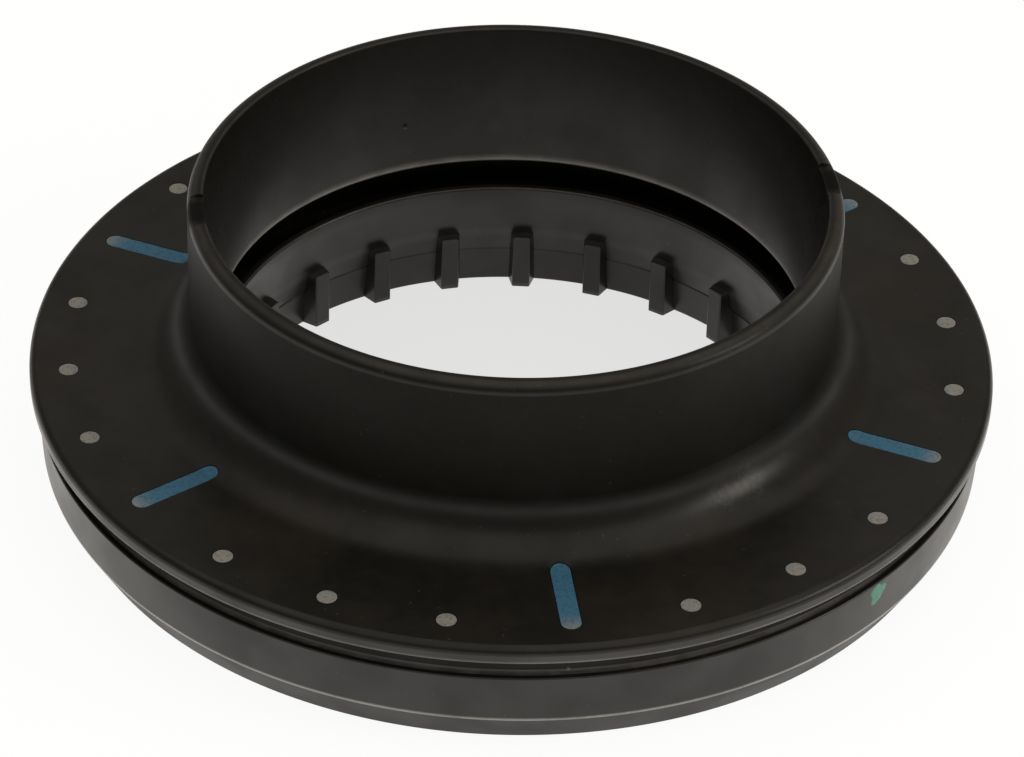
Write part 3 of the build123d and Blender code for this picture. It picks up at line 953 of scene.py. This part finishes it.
class BuildBodyCap(Operator):
    """Builds the black moulding that bears on the car body"""

    bl_idname = "strut_bearing.build_body_cap"
    bl_label = "Build the body cap"

    def execute(self, context):
        scene = context.scene
        c, race_back = scene.strut_cap, scene.strut_seat.race_back
        plastic = self.plastic(scene, c)
        cap = turned_shape("cap_section", cap_corners(c, race_back), c.turn_steps, plastic)
        ribs, pockets = self.ribs(c, plastic), self.pockets(c, plastic)
        combine(cap, "UNION", ribs)
        combine(cap, "DIFFERENCE", pockets)
        cap = plain_piece("body_cap_moulding", cap, [ribs, pockets], plastic)
        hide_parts("body_cap")
        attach(cap, "body_side")
        return {"FINISHED"}

    def plastic(self, scene, c):
        """A glossier black with a painted highlight line along the heel."""
        beyond, below = 2 * BALL_CIRCLE, -1 * MM
        zones = [
            (0.35, 0.28),
            # Slope under the heel, the whole bore, and the heel itself, glossed for a painted highlight line
            (BALL_CIRCLE, beyond, below, c.heel, 0.0, 0.4),
            (0, BALL_CIRCLE, below, SLEEVE_TOP + 1 * MM, 0.31, 0.3),
            (BALL_CIRCLE, beyond, c.heel - 0.25 * MM, c.heel + 0.25 * MM, 1.0, 0.2),
        ]
        # Worn rings; the one on the heel is strong enough to be a painted highlight line as well as wear
        edges = [
            (c.heel_radius, c.heel, 0.9, 0.9),
            (SLEEVE_RADIUS, SLEEVE_TOP, 0.15, 1.0),
            (c.bore, 0, 0.25, 1.0),
            # Feet and tops of the ribs
            (SLEEVE_RADIUS, 0, 0.4, 2.0),
            (SLEEVE_RADIUS + 1 * MM, c.rib_height, 0.12, 3.0),
        ]
        return moulded_plastic(
            "Glossy black moulding", scene.strut_colours.cap, zones, edges, [], scene,
            Specular_IOR_Level=0.28, Coat_Roughness=0.26, Coat_IOR=1.8,
        )

    def ribs(self, c, plastic):
        """Centring ribs with leaning flanks, in the bore."""
        root = c.bore + 0.6 * MM
        outline = rounded([
            (SLEEVE_RADIUS, -c.rib_width / 2, c.rib_round),
            (root, -c.rib_root / 2, 0),
            (root, c.rib_root / 2, 0),
            (SLEEVE_RADIUS, c.rib_width / 2, c.rib_round),
        ])
        return repeated_shape(
            "ribs", [outline], c.edge / 2, c.rib_height, plastic, c.rib_count, c.rib_phase, c.rib_round
        )

    def pockets(self, c, plastic):
        """Two rows of pockets between the webs of the base face."""
        wall, ring, side_steps = 2.4 * MM, c.track_ring / 2, 6
        pitch = math.tau / c.rib_count
        inner_row = (c.bore + wall, BALL_CIRCLE - ring)
        outer_row = (BALL_CIRCLE + ring, c.heel_radius - c.slope - wall)
        outlines = []
        for near, far in (inner_row, outer_row):
            outline = []
            for radius, way in ((far, 1), (near, -1)):
                low = math.asin(c.web / 2 / radius)
                angles = [low + (pitch - 2 * low) * k / side_steps for k in range(side_steps + 1)][::way]
                outline += [(radius * math.cos(a), radius * math.sin(a)) for a in angles]
            outlines.append(outline)
        return repeated_shape(
            "pockets", outlines, -1 * MM, c.pocket_depth, plastic, c.rib_count, c.rib_phase
        )


class BuildStiffener(Operator):
    """Builds the coated steel ring that shows in the marks of the flange"""

    bl_idname = "strut_bearing.build_stiffener"
    bl_label = "Build the stiffening ring"

    def execute(self, context):
        s, coat = context.scene.strut_seat, self.coat(context.scene.strut_colours)
        low, top, inside = INSERT_LOW.z, FLANGE_TOP - 0.04 * MM, COLLAR_RADIUS - 2 * MM
        middle = (low + s.insert_top) / 2
        # What lies under the flange face and the root of the collar; it trims the pads
        under_face = [
            (inside, low, 0),
            (INSERT_HIGH.x, low, 0),
            (INSERT_HIGH.x, top, 0),
            (COLLAR_RADIUS, top, s.root),
            (COLLAR_RADIUS, top + 1.5 * s.root, 0),
            (inside, top + 1.5 * s.root, 0),
        ]
        outlines = mark_outlines(s, 0)
        pads = repeated_shape("pads", outlines, middle, FLANGE_TOP + 2 * MM, coat, MARK_GROUPS)
        reach = turned_shape("under_face", under_face, s.turn_steps, coat)
        combine(pads, "INTERSECT", reach)
        plate = turned_shape("washer", insert_section(s), s.turn_steps, coat)
        combine(plate, "UNION", pads)
        plate = plain_piece("stiffening_ring", plate, [pads, reach], coat)
        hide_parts("stiffener_insert")
        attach(plate, "spring_side")
        return {"FINISHED"}

    def coat(self, colours):
        """Zinc coat, pale at the outer edge and blue further in, further out on the long marks."""
        material, nodes, shader = new_material("Zinc coated steel", Metallic=0.2, Specular_IOR_Level=0.5)
        vector, radius, _ = nodes.place()
        x, y, _ = nodes.apart(vector)
        sixfold = nodes.math("COSINE", nodes.times(nodes.math("ARCTAN2", y, x), float(MARK_GROUPS)))
        on_long = nodes.step(sixfold, -0.5, -0.9)
        start, end = nodes.blend(on_long, 65 * MM, 66.5 * MM), nodes.blend(on_long, 69 * MM, 72.5 * MM)
        paint = nodes.mix(nodes.step(radius, start, end), colours.insert_blue, colours.insert)
        spangle = nodes.noise(vector, 900.0, 3.0, 0.6)
        scratches = nodes.step(nodes.noise(vector, 1900.0), 0.5, 0.66)
        paint = nodes.mix(nodes.times(spangle, 0.3), paint, (0.02, 0.03, 0.035))
        paint = nodes.mix(nodes.times(scratches, 0.35), paint, (0.05, 0.05, 0.05))
        nodes.feed(shader, Base_Color=paint, Roughness=nodes.plus(0.35, nodes.times(spangle, 0.25)))
        bump(nodes, shader, nodes.times(spangle, 1e-5))
        return material


class PaintDab(Operator):
    """Dabs the green inspection mark on the skirt of the body cap"""

    bl_idname = "strut_bearing.paint_dab"
    bl_label = "Paint the dab"

    def execute(self, context):
        c = context.scene.strut_cap
        material, nodes, shader = new_material("Green paint", Roughness=0.4, Specular_IOR_Level=0.4)
        vector, _, _ = nodes.place()
        streak = nodes.noise(vector, 1500.0, 3.0, 0.6)
        nodes.feed(shader, Base_Color=two_tones(nodes, streak, context.scene.strut_colours.paint, 0.75))
        lean = c.heel_step / (c.skirt_top - c.heel)
        angle, height = math.radians(-49.4), 11.6 * MM
        half_width, half_height, thickness, sunk = 1.65 * MM, 1.85 * MM, 0.07 * MM, 0.01 * MM
        vertices, faces, rim = [], [], 28
        for ring, share in enumerate((0.0, 0.75, 1.0)):
            for k in range(rim if ring else 1):
                turn = math.tau * k / rim
                reach = share * (1 + 0.16 * math.sin(3 * turn + 1) + 0.09 * math.sin(5 * turn))
                up = height + half_height * reach * math.sin(turn)
                radius = c.heel_radius + (up - c.heel) * lean + (thickness if ring < 2 else -sunk)
                around = angle + half_width * reach * math.cos(turn) / radius
                vertices.append((radius * math.cos(around), radius * math.sin(around), up))
        for k in range(rim):
            after = (k + 1) % rim
            faces.append((0, 1 + k, 1 + after))
            faces.append((1 + k, 1 + rim + k, 1 + rim + after, 1 + after))
        faces.append(tuple(range(2 * rim, rim, -1)))
        dab = new_object("paint_dab", vertices, faces=faces)
        dab.data.materials.append(material)
        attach(dab, "body_side")
        return {"FINISHED"}


class FinishBearing(Operator):
    """Finishes the races, the cage and the balls"""

    bl_idname = "strut_bearing.finish_bearing"
    bl_label = "Finish the ball bearing"

    def execute(self, context):
        colours = context.scene.strut_colours
        race, nodes, shader = new_material("Hardened race steel", Metallic=1.0)
        vector, radius, _ = nodes.place()
        rings = nodes.noise(radius, 9000.0)
        film = nodes.noise(vector, 60.0, 4.0)
        rough = nodes.plus(0.2, nodes.times(rings, 0.2))
        nodes.feed(shader, Base_Color=two_tones(nodes, film, colours.race, 0.7), Roughness=rough)
        bump(nodes, shader, nodes.times(rings, 2e-6))
        for name in ("seat_race", "body_race"):
            wear(name, race)

        ball, nodes, shader = new_material("Polished ball steel", Metallic=1.0)
        vector, _, _ = nodes.place()
        film = nodes.noise(vector, 500.0, 3.0)
        rough = nodes.plus(0.05, nodes.times(film, 0.08))
        nodes.feed(shader, Base_Color=two_tones(nodes, film, colours.ball, 0.85), Roughness=rough)
        for name in frame["nodes"]:
            if name.startswith("ball_") and name != "ball_cage":
                wear(name, ball)

        cage, nodes, shader = new_material(
            "Natural polyamide", Subsurface_Weight=0.08, Subsurface_Scale=0.6 * MM
        )
        grain = use_group(nodes, moulded_grain(), Grain_depth=3e-6)
        rough = nodes.plus(0.38, nodes.times(grain["Mottle"], 0.12))
        nodes.feed(shader, Base_Color=two_tones(nodes, grain["Cloud"], colours.cage, 0.85), Roughness=rough)
        bump(nodes, shader, grain["Height"])
        wear("ball_cage", cage)
        return {"FINISHED"}


class FinishSeals(Operator):
    """Finishes the two rubber lip seals"""

    bl_idname = "strut_bearing.finish_seals"
    bl_label = "Finish the seals"

    def execute(self, context):
        rubber, nodes, shader = new_material("Seal rubber", Specular_IOR_Level=0.35)
        grain = use_group(nodes, moulded_grain(), Grain_size=0.2 * MM, Grain_depth=6e-6)
        paint = two_tones(nodes, grain["Mottle"], context.scene.strut_colours.seal, 0.7)
        nodes.feed(shader, Base_Color=paint, Roughness=nodes.plus(0.6, nodes.times(grain["Cloud"], 0.2)))
        bump(nodes, shader, grain["Height"])
        for name in ("outer_seal", "inner_seal"):
            wear(name, rubber)
        return {"FINISHED"}


class BuildStage(Operator):
    """Builds the floor, the soft lamps, the world and the camera"""

    bl_idname = "strut_bearing.build_stage"
    bl_label = "Build the stage"

    def execute(self, context):
        scene = context.scene
        self.make_floor(scene.strut_stage.floor_size / 2)
        self.make_lamps()
        scene.world = self.make_world()
        scene.camera = self.make_camera(scene.strut_stage)
        scene.view_settings.view_transform = "Standard"
        return {"FINISHED"}

    def make_floor(self, half):
        """A white floor, with painted shade where it lies under the ring and is seen through the bore."""
        corners = [(-half, -half, 0), (half, -half, 0), (half, half, 0), (-half, half, 0)]
        floor = new_object("floor", corners, faces=[(0, 1, 2, 3)])
        material = bpy.data.materials.new("White floor")
        nodes = empty_tree(material)
        paper = nodes.feed(nodes.add("ShaderNodeBsdfDiffuse"), Color=(0.86, 0.84, 0.81, 1))
        path = nodes.add("ShaderNodeLightPath").outputs
        _, radius, _ = nodes.place()
        # Painted shade: within 50 to 60 mm of the axis the floor glows less, to the camera and in reflections
        outside = nodes.step(radius, 50 * MM, 60 * MM)
        seen_strength, mirrored_strength = nodes.blend(outside, 0.89, 1.16), nodes.blend(outside, 0.68, 1.0)
        glow = nodes.feed(
            nodes.add("ShaderNodeEmission"),
            Color=nodes.mix(path["Is Glossy Ray"], (1, 1, 1), (1, 0.965, 0.92)),
            Strength=nodes.blend(path["Is Glossy Ray"], seen_strength, mirrored_strength),
        )
        seen = nodes.math("MAXIMUM", path["Is Camera Ray"], path["Is Glossy Ray"])
        seen = nodes.math("MAXIMUM", seen, path["Is Transmission Ray"])
        nodes.cover("ShaderNodeOutputMaterial", nodes.times(seen, 0.8), paper, glow)
        floor.data.materials.append(material)

    def make_lamps(self):
        """Soft square lamps: name, place and side in metres, and power in watts."""
        for name, place, side, power in (
            ("lamp_top", (0.0, -0.3, 1.6), 3.0, 12.5),
            ("lamp_right", (1.27, -0.46, 0.66), 0.5, 3.4),
            ("lamp_back", (0.18, 1.28, 0.95), 1.6, 1.0),
        ):
            data = bpy.data.lights.new(name, "AREA")
            data.size, data.energy, data.color = side, power, LAMP_COLOUR
            lamp = linked(name, data)
            lamp.location = place
            aim = Vector((0, 0, COLLAR_TOP / 2)) - Vector(place)
            lamp.rotation_euler = aim.to_track_quat("-Z", "Y").to_euler()

    def make_world(self):
        """A dim sky that the camera sees as white."""
        world = bpy.data.worlds.new("Dim studio")
        nodes = empty_tree(world)
        sky = nodes.feed(nodes.add("ShaderNodeBackground"), Color=(*LAMP_COLOUR, 1), Strength=0.13)
        white = nodes.feed(nodes.add("ShaderNodeBackground"), Color=(1, 1, 1, 1), Strength=1.0)
        path = nodes.add("ShaderNodeLightPath").outputs
        nodes.cover("ShaderNodeOutputWorld", path["Is Camera Ray"], sky, white)
        return world

    def make_camera(self, stage):
        """A long lens that looks down past the middle of the flange face."""
        data = bpy.data.cameras.new("camera")
        data.lens, data.sensor_width = stage.lens, 36
        data.clip_start, data.clip_end = 10 * MM, 20
        turn = (
            Matrix.Rotation(stage.azimuth, 4, "Z")
            @ Matrix.Rotation(math.pi / 2 - stage.elevation, 4, "X")
            @ Matrix.Rotation(stage.roll, 4, "Z")
        )
        back_off = turn @ Vector((0, -stage.sight_drop, stage.distance))
        camera = linked("camera", data)
        camera.matrix_world = Matrix.Translation(Vector((0, 0, FLANGE_TOP)) + back_off) @ turn
        return camera


class StrutBearingPanel(Panel):
    """Lists the steps and the values of the strut bearing's looks"""

    bl_idname = "VIEW3D_PT_strut_bearing"
    bl_label = "Strut Bearing"
    bl_space_type = "VIEW_3D"
    bl_region_type = "UI"
    bl_category = "Strut Bearing"

    def draw(self, context):
        column = self.layout.column()
        for step in STEPS:
            column.operator(step.bl_idname)
        for name, kind in GROUPS.items():
            for value in kind.__annotations__:
                column.prop(getattr(context.scene, name), value)


STEPS = (BuildSpringSeat, BuildBodyCap, BuildStiffener, PaintDab, FinishBearing, FinishSeals, BuildStage)
GROUPS = {
    "strut_seat": SeatSizes,
    "strut_cap": CapSizes,
    "strut_finish": FinishSizes,
    "strut_colours": FinishColours,
    "strut_stage": StageSizes,
}


def register():
    for name, kind in GROUPS.items():
        bpy.utils.register_class(kind)
        setattr(bpy.types.Scene, name, PointerProperty(type=kind))
    for kind in (*STEPS, StrutBearingPanel):
        bpy.utils.register_class(kind)


def unregister():
    for kind in (StrutBearingPanel, *reversed(STEPS)):
        bpy.utils.unregister_class(kind)
    for name in reversed(GROUPS):
        delattr(bpy.types.Scene, name)
        bpy.utils.unregister_class(GROUPS[name])


def main():
    register()
    bpy.ops.strut_bearing.build_spring_seat()
    bpy.ops.strut_bearing.build_body_cap()
    bpy.ops.strut_bearing.build_stiffener()
    bpy.ops.strut_bearing.paint_dab()
    bpy.ops.strut_bearing.finish_bearing()
    bpy.ops.strut_bearing.finish_seals()
    bpy.ops.strut_bearing.build_stage()


if __name__ == "__main__":
    main()
